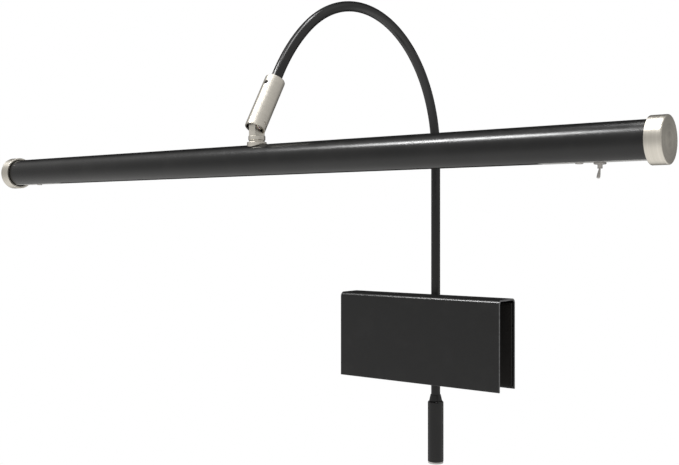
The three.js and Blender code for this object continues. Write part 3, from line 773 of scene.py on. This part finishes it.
def inlet(coat, grey, brass):
    place = on_axis((rod_axis.x, rod_axis.y, 0), Z_AXIS)
    low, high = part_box("inlet_housing")
    radius = (high.x - low.x) / 2
    bore = 5.45 * MM
    corners = [
        (bore, low.z, 0.15 * MM),
        (radius, low.z, 0.25 * MM),
        (radius, high.z - 0.6 * MM, 1.6 * MM),
        (radius - 0.95 * MM, high.z, 0.5 * MM),
        (bore, high.z, 0.15 * MM),
    ]
    stands_for(turned("inlet_barrel", rounded(corners, True, 6), place), coat, "inlet_housing")

    low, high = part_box("inlet_cone")
    bore = size("arm_tube").x / 2 + 0.1 * MM
    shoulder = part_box("inlet_housing")[1].z
    tail = 5.35 * MM
    flare = (high.x - low.x) / 2
    corners = [
        (bore, low.z, 0),
        (tail, low.z, 0.2 * MM),
        (tail, shoulder + 0.1 * MM, 0),
        (flare, shoulder + 0.4 * MM, 0.15 * MM),
        (4.45 * MM, high.z, 0.2 * MM),
        (bore, high.z, 0),
    ]
    stands_for(turned("inlet_flare", rounded(corners, True, 4), place), coat, "inlet_cone")

    flange_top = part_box("inlet_housing")[0].z - 0.1 * MM
    low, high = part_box("inlet_socket")
    flange = (high.x - low.x) / 2
    barrel = 5.35 * MM
    jack = 2.75 * MM
    hole = MM
    roof = low.z + 10 * MM
    ease = 0.3 * MM
    corners = [
        (hole, roof, 0),
        (jack, roof, 0),
        (jack, low.z, ease),
        (flange, low.z, ease),
        (flange, flange_top, 0.15 * MM),
        (barrel, flange_top, 0),
        (barrel, high.z, 0),
        (hole, high.z, 0),
    ]
    stands_for(turned("inlet_jack", rounded(corners, True, 4), place, 72), grey, "inlet_socket")

    low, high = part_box("inlet_contact")
    pin = (high.x - low.x) / 2
    corners = [(0, low.z, 0), (pin, low.z, 0.6 * MM), (pin, high.z, 0), (0, high.z, 0)]
    stands_for(turned("inlet_pin", rounded(corners), place, 40), brass, "inlet_contact")


# ---- Knuckle ----


def knuckle(nickel, steel, pin_metal, nylon):
    """The sleeve on the arm's end, with its set screw, and the pin that it tilts on."""
    lean = math.radians(30.75)
    axis = Vector((0, math.sin(lean), math.cos(lean)))
    front = Vector((0, -math.cos(lean), math.sin(lean)))
    place = on_axis(pivot, axis)
    radius = size("knuckle_sleeve").x / 2
    bottom, top = -3.9 * MM, 37.4 * MM
    mouth, mouth_depth = 5.8 * MM, 7.5 * MM
    bore = size("arm_tube").x / 2 + 0.3 * MM
    corners = [
        (mouth, bottom, 0.2 * MM),
        (radius, bottom, 0.35 * MM),
        (radius, top, 0.9 * MM),
        (bore, top, 0.3 * MM),
        (bore, mouth_depth, 0),
        (mouth, mouth_depth, 0),
    ]
    sleeve = turned("knuckle_barrel", rounded(corners, True, 5), place, 128)
    slot_half = 3.3 * MM
    slot_top = 5.5 * MM
    slot = slab("slot", (-slot_half, 0, -2 * radius), (slot_half, 2 * radius, slot_top))
    slot.data.transform(Matrix.Translation(pivot) @ Matrix.Rotation(-lean, 4, "X"))
    screw_place = on_axis(pivot + axis * 30.5 * MM, front)
    carve(
        sleeve,
        slot,
        rod("cross_hole", 1.22 * MM, -2 * radius, 2 * radius, on_axis(pivot, X_AXIS)),
        rod("screw_hole", 1.75 * MM, 0, 2 * radius, screw_place),
    )
    stands_for(soften(sleeve, 0.14 * MM, 2, 50), nickel, "knuckle_sleeve")

    tip = size("arm_tube").x / 2 + 0.3 * MM
    end = tip + 2.4 * MM
    socket = 0.75 * MM
    corners = [
        (0, end - 1.3 * MM, 0),
        (socket, end - 1.1 * MM, 0),
        (socket, end, 0.05 * MM),
        (1.45 * MM, end, 0.2 * MM),
        (1.45 * MM, tip, 0.2 * MM),
        (0, tip, 0),
    ]
    flats = hexagon(1.3 * MM)

    def socket_shape(reach, height, angle):
        return flats(reach, height, angle) if reach < 0.9 * MM else reach

    screw = turned("grub_screw", rounded(corners), screw_place, 48, socket_shape)
    stands_for(screw, steel, "sleeve_set_screw")

    half = size("pivot_pin").x / 2
    radius = size("pivot_pin").y / 2
    corners = [(0, -half, 0), (radius, -half, 0.3 * MM), (radius, half, 0.3 * MM), (0, half, 0)]
    pin = turned("cross_pin", rounded(corners), on_axis(pivot, X_AXIS), 48)
    stands_for(pin, pin_metal, "pivot_pin")

    for node in ("friction_washer_left", "friction_washer_right"):
        low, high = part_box(node)
        disc, hole = 3.8 * MM, 1.45 * MM
        ease = 0.15 * MM
        corners = [(hole, low.x, ease), (disc, low.x, ease), (disc, high.x, ease), (hole, high.x, ease)]
        place = on_axis((0, pivot.y, pivot.z), X_AXIS)
        ring = turned(node.replace("friction_washer", "shim"), rounded(corners, True, 3), place, 64)
        stands_for(ring, nylon, node)


# ---- Neck ----


def neck(nickel, steel, brass, jacket):
    """The turned post and flat tongue that hang the shade, with the collar that it turns on."""
    place = on_axis(shade_axis, Z_AXIS)
    drop = (pivot - shade_axis).z
    half = 2.85 * MM
    half_width = 4.85 * MM
    shank, shank_bottom = 4.6 * MM, 3.2 * MM
    ridge, ridge_top = 5.8 * MM, 16.9 * MM
    ridge_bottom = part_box("swivel_washer")[1].z - shade_axis.z + 0.1 * MM
    corners = [
        (0, shank_bottom, 0),
        (shank, shank_bottom, 0.3 * MM),
        (shank, ridge_bottom, 0),
        (ridge, ridge_bottom, 0.4 * MM),
        (ridge, ridge_top, 0.4 * MM),
        (0, ridge_top, 0),
    ]
    post = turned("neck_post", rounded(corners), place)
    blade_low = shade_axis + Vector((-half, -half_width, ridge_top - 0.6 * MM))
    carve(
        post,
        slab("blade", blade_low, shade_axis + Vector((half, half_width, drop))),
        rod("crown", half_width, -half, half, on_axis(pivot, X_AXIS), 96),
        operation="UNION",
    )
    wire_place = on_axis(shade_axis + Vector((0, 2.9 * MM, 0)), Z_AXIS)
    carve(
        post,
        rod("cross_hole", 1.45 * MM, -2 * half, 2 * half, on_axis(pivot, X_AXIS), 48),
        rod("wire_way", 1.1 * MM, 0, 2 * drop, wire_place, 32),
    )
    stands_for(soften(post, 0.22 * MM, 2, 50), nickel, "neck_tongue")

    collar, hole = 6.7 * MM, 4.85 * MM
    collar_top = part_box("neck_collar")[1].z - shade_axis.z
    shade_radius = size("shade_tube").y / 2
    shadow_gap = 0.55 * MM
    corners = [
        (hole, 7 * MM, 0),
        (collar, 7 * MM, 0),
        (collar, collar_top, 0.45 * MM),
        (hole, collar_top, 0.2 * MM),
    ]
    base = turned("neck_saddle", rounded(corners, True), place)
    hollow = rod("hollow", shade_radius + shadow_gap, -10 * MM, 10 * MM, on_axis(shade_axis, X_AXIS), 192)
    stands_for(soften(carve(base, hollow), 0.1 * MM, 2, 50), nickel, "neck_collar")

    for node, inner, material in (
        ("swivel_washer", 4.75 * MM, nickel),
        ("neck_wave_washer", 4.75 * MM, steel),
    ):
        low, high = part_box(node)
        outer = (high.x - low.x) / 2
        ease = 0.1 * MM
        corners = [
            (inner, low.z, ease),
            (outer, low.z, ease),
            (outer, high.z, ease),
            (inner, high.z, ease),
        ]
        ring_place = on_axis((shade_axis.x, shade_axis.y, 0), Z_AXIS)
        ring = turned(node.replace("washer", "ring"), rounded(corners, True, 3), ring_place)
        stands_for(ring, material, node)

    hex_nut("neck_jam_nut", "neck_nut", 11 * MM, 4.75 * MM, (shade_axis.x, shade_axis.y), brass)

    low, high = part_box("neck_lead")
    middle = (low + high) / 2
    ends = [Vector((middle.x, middle.y, z)) for z in (low.z, high.z)]
    path = [ends[0].lerp(ends[1], i / 12) for i in range(13)]
    stands_for(swept("neck_wire", path, (high.x - low.x) / 2, 24), jacket, "neck_lead")


def hex_nut(name, node, flats, bore, axis, material):
    """A nut whose corners are turned off at both faces."""
    low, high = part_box(node)
    corner = flats / math.sqrt(3)
    turned_off = 0.45 * (corner - flats / 2)
    outline = [
        (bore, low.z),
        (flats / 2, low.z),
        (corner, low.z + turned_off),
        (corner, high.z - turned_off),
        (flats / 2, high.z),
        (bore, high.z),
    ]
    nut = turned(name, outline, on_axis((axis[0], axis[1], 0), Z_AXIS), 96, hexagon(flats))
    stands_for(nut, material, node)


# ---- Shade ----


def arc(radius, start, end, count):
    angles = [start + (end - start) * i / count for i in range(count + 1)]
    return [(shade_axis.y + radius * math.cos(a), shade_axis.z + radius * math.sin(a)) for a in angles]


def slotted_tube(coat):
    """The tube, with rolled lips along the slot in its underside and a hole for the neck."""
    low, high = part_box("shade_tube")
    radius = (high.y - low.y) / 2
    inner = radius - 1.2 * MM
    slot_half = 4.9 * MM
    down = -math.pi / 2
    outer_gap = math.asin(slot_half / radius)
    inner_gap = math.asin(slot_half / inner)
    outline = arc(radius, down + outer_gap, down + 2 * math.pi - outer_gap, 150)
    outline += arc(inner, down + 2 * math.pi - inner_gap, down + inner_gap, 110)
    tube = extruded("shade_shell", outline, low.x, high.x)
    hole = rod("neck_hole", 4.85 * MM, 5 * MM, 15 * MM, on_axis(shade_axis, Z_AXIS))
    stands_for(soften(carve(tube, hole), 0.22 * MM, 3), coat, "shade_tube")


def end_cap(node, side, nickel):
    """A cup cap that fits over the tube's end, held by a spigot in its plug."""
    low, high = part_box(node)
    radius = (high.y - low.y) / 2
    outside = high.x if side > 0 else -low.x
    rim = outside - 9.15 * MM
    inner = radius - 1.5 * MM
    floor = outside - 1.5 * MM
    spigot = 2.9 * MM
    corners = [
        (0, rim - 2 * MM, 0),
        (spigot, rim - 2 * MM, 0.4 * MM),
        (spigot, floor, 0.2 * MM),
        (inner, floor, 0.3 * MM),
        (inner, rim, 0.18 * MM),
        (radius, rim, 0.35 * MM),
        (radius, outside, 0.7 * MM),
        (0, outside, 0),
    ]
    place = on_axis((0, shade_axis.y, shade_axis.z), X_AXIS * side)
    cap = turned(node.replace("end_cap", "cap"), rounded(corners, False, 6), place, 160)
    stands_for(cap, nickel, node)


def slot_plate(name, node, holes, grey):
    """A flat plate with eased edges and round holes given as (x, radius)."""
    low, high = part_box(node)
    plate = slab(name, low, high)
    for x, radius in holes:
        place = on_axis((x, shade_axis.y, 0), Z_AXIS)
        carve(plate, rod("hole", radius, low.z - MM, high.z + MM, place, 48))
    stands_for(soften(plate, 0.12 * MM, 2), grey, node)


def plate_screw(name, node, metal):
    """A low pan head with a cross recess."""
    low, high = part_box(node)
    head = (high.x - low.x) / 2
    shank = 1.1 * MM
    seat = low.z + 0.6 * MM
    middle = centre(node)
    corners = [
        (0, low.z, 0),
        (head, low.z, 0.45 * MM),
        (head, seat, 0),
        (shank, seat, 0),
        (shank, high.z, 0.2 * MM),
        (0, high.z, 0),
    ]
    screw = turned(name, rounded(corners), on_axis((middle.x, middle.y, 0), Z_AXIS), 72)
    arm_half, arm_wide, deep = 1.15 * MM, 0.2 * MM, 0.38 * MM
    for reach_x, reach_y in ((arm_half, arm_wide), (arm_wide, arm_half)):
        start = (middle.x - reach_x, middle.y - reach_y, low.z - MM)
        end = (middle.x + reach_x, middle.y + reach_y, low.z + deep)
        carve(screw, slab("recess", start, end))
    stands_for(screw, metal, node)


def diffuser(opal):
    """The lens: a milky strip with eased edges and a flange on each side."""
    low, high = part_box("diffuser")
    flange = (high.y - low.y) / 2
    half = 4.5 * MM
    shoulder = high.z - 0.8 * MM
    y = shade_axis.y
    ease = 0.25 * MM
    corners = [
        (y - half, low.z, 0.5 * MM),
        (y + half, low.z, 0.5 * MM),
        (y + half, shoulder - 0.1 * MM, 0.1 * MM),
        (y + flange, shoulder, ease),
        (y + flange, high.z, ease),
        (y - flange, high.z, ease),
        (y - flange, shoulder, ease),
        (y - half, shoulder - 0.1 * MM, 0.1 * MM),
    ]
    lens = extruded("diffuser_lens", rounded(corners, True, 3), low.x, high.x)
    stands_for(lens, opal, "diffuser")


def toggle_switch(nickel, bright):
    """The threaded bush, its washer and nut, and the bat lever."""
    x, y = toggle_pivot.x, toggle_pivot.y
    place = on_axis((x, y, 0), Z_AXIS)
    low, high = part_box("switch_bush")
    outer = (high.x - low.x) / 2
    bore = 0.95 * MM
    ease = 0.15 * MM
    corners = [(bore, low.z, ease), (outer, low.z, ease), (outer, high.z, 0), (bore, high.z, 0)]
    points = [(point.x, point.y) for point in rounded(corners, True, 3)]
    bush = thread("switch_barrel", points, place, 0.4 * MM, 0.1 * MM, low.z + ease, high.z)
    stands_for(bush, nickel, "switch_bush")

    low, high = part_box("switch_washer")
    outer = (high.x - low.x) / 2
    ease = 0.08 * MM
    corners = [(1.5 * MM, low.z, ease), (outer, low.z, ease), (outer, high.z, ease), (1.5 * MM, high.z, ease)]
    washer = turned("switch_shim", rounded(corners, True, 2), place, 64)
    stands_for(washer, nickel, "switch_washer")
    hex_nut("switch_hex_nut", "switch_nut", 5.8 * MM, 1.45 * MM, (x, y), nickel)

    lean = math.radians(9.5)
    axis = Vector((math.sin(lean), 0, math.cos(lean)))
    corners = [
        (0, -6.2 * MM, 0),
        (0.93 * MM, -6.2 * MM, 0.7 * MM),
        (0.93 * MM, -4.6 * MM, 1.5 * MM),
        (0.5 * MM, -1.2 * MM, 1.0 * MM),
        (0.45 * MM, -0.7 * MM, 0.3 * MM),
        (0.75 * MM, -0.2 * MM, 0.3 * MM),
        (0.75 * MM, 0.35 * MM, 0.35 * MM),
        (0.35 * MM, 0.75 * MM, 0.2 * MM),
        (0, 0.75 * MM, 0),
    ]
    lever = turned("toggle_bat", rounded(corners, False, 6), on_axis(toggle_pivot, axis), 56)
    stands_for(lever, bright, "toggle_lever")


# ---- Everything that keeps its CAD shape ----


def dress(materials):
    """Gives each CAD node that still shows a procedural finish by its material slot."""
    for node, piece in frame["nodes"].items():
        if piece.hide_render:
            continue
        material = materials[slot_of[node]]
        piece.data.materials.clear()
        piece.data.materials.append(material)


def build():
    coat = powder_coat("powder_coat")
    # The saddle's coat carries a painted highlight along its cut ends and lower hems.
    saddle_coat = powder_coat("saddle_powder_coat", sheet_ends)
    felt = wool_felt()
    lean = math.radians(30.75)
    sleeve_axis = Vector((0, math.sin(lean), math.cos(lean)))
    nickel_cap = turned_metal("nickel_cap", SHADED_CAP_NICKEL, 0.36, shade_axis, X_AXIS)
    # The sleeve's bore is darkened with painted shade.
    nickel_sleeve = turned_metal(
        "nickel_sleeve", NICKEL, 0.42, pivot, sleeve_axis, mouth=(6.0 * MM, 8 * MM)
    )
    nickel_neck = turned_metal("nickel_neck", NICKEL, 0.38, shade_axis, Z_AXIS)
    nickel_pin = turned_metal("nickel_pin", NICKEL, 0.25, pivot, X_AXIS)
    nickel_switch = turned_metal("nickel_switch", GREY_METAL, 0.24, toggle_pivot, Z_AXIS, 0.1 * MM)
    oxide = turned_metal("black_oxide", BLACK_OXIDE, 0.42, rod_axis, Z_AXIS)
    brass = turned_metal("turned_brass", BRASS, 0.26, rod_axis, Z_AXIS)
    nylon = moulded("white_nylon", (0.72, 0.70, 0.66), 0.5, soft=0.2)
    grey = moulded("grey_plate", (0.50, 0.50, 0.49), 0.42, grain=0.4 * MM, depth=0.006 * MM)
    black = moulded("black_plastic", (0.012, 0.012, 0.013), 0.48)
    rubber = moulded("cable_jacket", (0.012, 0.012, 0.012), 0.6)
    white_wire = moulded("white_jacket", (0.70, 0.69, 0.66), 0.45)
    opal = opal_lens()

    channel(saddle_coat)
    felt_pad("front_felt", 1, felt)
    felt_pad("back_felt", -1, felt)
    felt_fuzz("front_felt", 1, felt, 7)
    felt_fuzz("back_felt", -1, felt, 11)
    guide(coat)
    guide_bush(nylon)
    knob_and_screw(black, oxide, nylon)
    arm(coat, rubber)
    inlet(coat, grey, brass)
    knuckle(nickel_sleeve, oxide, nickel_pin, nylon)
    neck(nickel_neck, oxide, brass, white_wire)
    slotted_tube(coat)
    end_cap("end_cap_left", -1, nickel_cap)
    end_cap("end_cap_right", 1, nickel_cap)
    blank_screw = centre("blank_plate_screw")
    switch_screw = centre("switch_plate_screw")
    slot_plate("blank_strip", "blank_plate", [(blank_screw.x, 1.4 * MM)], grey)
    holes = [(switch_screw.x, 1.4 * MM), (toggle_pivot.x, 1.6 * MM)]
    slot_plate("switch_strip", "switch_plate", holes, grey)
    plate_screw("blank_strip_screw", "blank_plate_screw", nickel_switch)
    plate_screw("switch_strip_screw", "switch_plate_screw", nickel_switch)
    diffuser(opal)
    toggle_switch(nickel_switch, nickel_switch)
    dress({
        "black_coat": coat,
        "felt": felt,
        "nickel": nickel_neck,
        "dark_steel": oxide,
        "aluminium": drawn_metal("mill_aluminium", (0.70, 0.71, 0.72), 0.38),
        "grey_plate": grey,
        "white_nylon": nylon,
        "opal": opal,
        "board_white": moulded("white_board", (0.80, 0.80, 0.77), 0.35),
        "board_green": solder_mask(),
        "black_plastic": black,
        "ferrite": moulded("ferrite", (0.04, 0.037, 0.034), 0.7, grain=0.2 * MM, depth=0.02 * MM),
        "brass": brass,
        "black_jacket": rubber,
        "white_jacket": white_wire,
    })


# ---- Studio ----


def softbox(name, start, end, angle, width, radiance):
    """A long area light that hangs parallel to the shade, from x = start to end.

    Its distance from the shade's axis is LIGHT_DISTANCE. angle runs up from the front, in degrees.
    """
    data = bpy.data.lights.new(name, "AREA")
    data.shape = "RECTANGLE"
    data.size = end - start
    data.size_y = width
    data.energy = radiance * math.pi * data.size * data.size_y
    light = bpy.data.objects.new(name, data)
    tilt = math.radians(angle)
    outward = Vector((0, -math.cos(tilt), math.sin(tilt)))
    middle = Vector(((start + end) / 2, shade_axis.y, shade_axis.z))
    light.location = middle + outward * LIGHT_DISTANCE
    light.rotation_euler = (math.pi / 2 - tilt, 0, 0)
    bpy.context.scene.collection.objects.link(light)


def seen_or_felt(tree, seen, felt):
    """Mixes what the camera sees with what lights and reflects in the object."""
    path = tree.nodes.new("ShaderNodeLightPath")
    mix = tree.nodes.new("ShaderNodeMixShader")
    tree.links.new(path.outputs["Is Camera Ray"], mix.inputs["Fac"])
    tree.links.new(felt, mix.inputs[1])
    tree.links.new(seen, mix.inputs[2])
    return mix.outputs["Shader"]


def surroundings():
    """A white room for the camera. The object sees a grey one, bright below and dark behind."""
    world = bpy.data.worlds.new("studio")
    bpy.context.scene.world = world
    world.use_nodes = True
    tree = world.node_tree
    tree.nodes.clear()
    place = tree.nodes.new("ShaderNodeTexCoord")
    split = tree.nodes.new("ShaderNodeSeparateXYZ")
    tree.links.new(place.outputs["Generated"], split.inputs["Vector"])
    height = tree.nodes.new("ShaderNodeMapRange")
    height.inputs["From Min"].default_value = -1
    tree.links.new(split.outputs["Z"], height.inputs["Value"])
    ramp = tree.nodes.new("ShaderNodeValToRGB")
    tree.links.new(height.outputs["Result"], ramp.inputs["Fac"])
    levels = ((-1, 1.05), (-0.6, 1.0), (-0.25, 0.66), (0, 0.53), (0.3, 0.53), (0.6, 0.68), (1, 0.58))
    while len(ramp.color_ramp.elements) < len(levels):
        ramp.color_ramp.elements.new(0.5)
    for element, (rise, level) in zip(ramp.color_ramp.elements, levels):
        element.position = (rise + 1) / 2
        element.color = (level, level * 0.992, level * 0.975, 1)
    behind = tree.nodes.new("ShaderNodeVectorMath")
    behind.operation = "DOT_PRODUCT"
    behind.inputs[1].default_value = Vector((-0.50, 0.86, 0.25)).normalized()
    tree.links.new(place.outputs["Generated"], behind.inputs[0])
    fade = tree.nodes.new("ShaderNodeMapRange")
    fade.interpolation_type = "SMOOTHSTEP"
    fade.inputs["From Min"].default_value = 0.38
    fade.inputs["From Max"].default_value = 0.80
    fade.inputs["To Min"].default_value = 1
    fade.inputs["To Max"].default_value = 0.06
    tree.links.new(behind.outputs["Value"], fade.inputs["Value"])
    dim = tree.nodes.new("ShaderNodeBackground")
    tree.links.new(ramp.outputs["Color"], dim.inputs["Color"])
    tree.links.new(fade.outputs["Result"], dim.inputs["Strength"])
    white = tree.nodes.new("ShaderNodeBackground")
    white.inputs["Color"].default_value = (1, 1, 1, 1)
    out = tree.nodes.new("ShaderNodeOutputWorld")
    shader = seen_or_felt(tree, white.outputs["Background"], dim.outputs["Background"])
    tree.links.new(shader, out.inputs["Surface"])


def pale_floor():
    """A wide pale floor, well under the object's lowest pose."""
    reach = 8.0
    depth = cad_low.z - 0.22
    mesh = bmesh.new()
    bmesh.ops.create_circle(mesh, cap_ends=True, segments=96, radius=reach)
    bmesh.ops.translate(mesh, verts=mesh.verts, vec=(0, 0, depth))
    floor = shown("floor", mesh)
    material = bpy.data.materials.new("pale_floor")
    material.use_nodes = True
    tree = material.node_tree
    tree.nodes.clear()
    glow = tree.nodes.new("ShaderNodeEmission")
    glow.inputs["Color"].default_value = (1, 1, 1, 1)
    out = tree.nodes.new("ShaderNodeOutputMaterial")
    tree.links.new(glow.outputs["Emission"], out.inputs["Surface"])
    floor.data.materials.append(material)
    floor.visible_diffuse = False
    floor.visible_glossy = False
    floor.visible_transmission = False
    floor.visible_shadow = False


def camera():
    """The camera stands to the right of the shade, level and a little below it."""
    data = bpy.data.cameras.new("camera")
    data.sensor_width = 36
    data.lens = 50.86
    data.shift_y = -0.0149
    data.clip_start = 0.01
    data.clip_end = 50
    view = bpy.data.objects.new("camera", data)
    view.location = (0.43951, -0.69702, 0.06342)
    view.rotation_euler = (math.pi / 2, 0, math.radians(37.267))
    bpy.context.scene.collection.objects.link(view)
    bpy.context.scene.camera = view


def studio():
    surroundings()
    pale_floor()
    softbox("key", -2.0, -1.02, 62.3, 0.58, 39)
    softbox("top_strip", -0.70, 0.15, 99, 0.48, 14)
    softbox("arm_strip", -0.45, 0.20, 80, 1.05, 9)
    camera()
    view = bpy.context.scene.view_settings
    view.view_transform = "Standard"
    view.look = "None"


build()
studio()
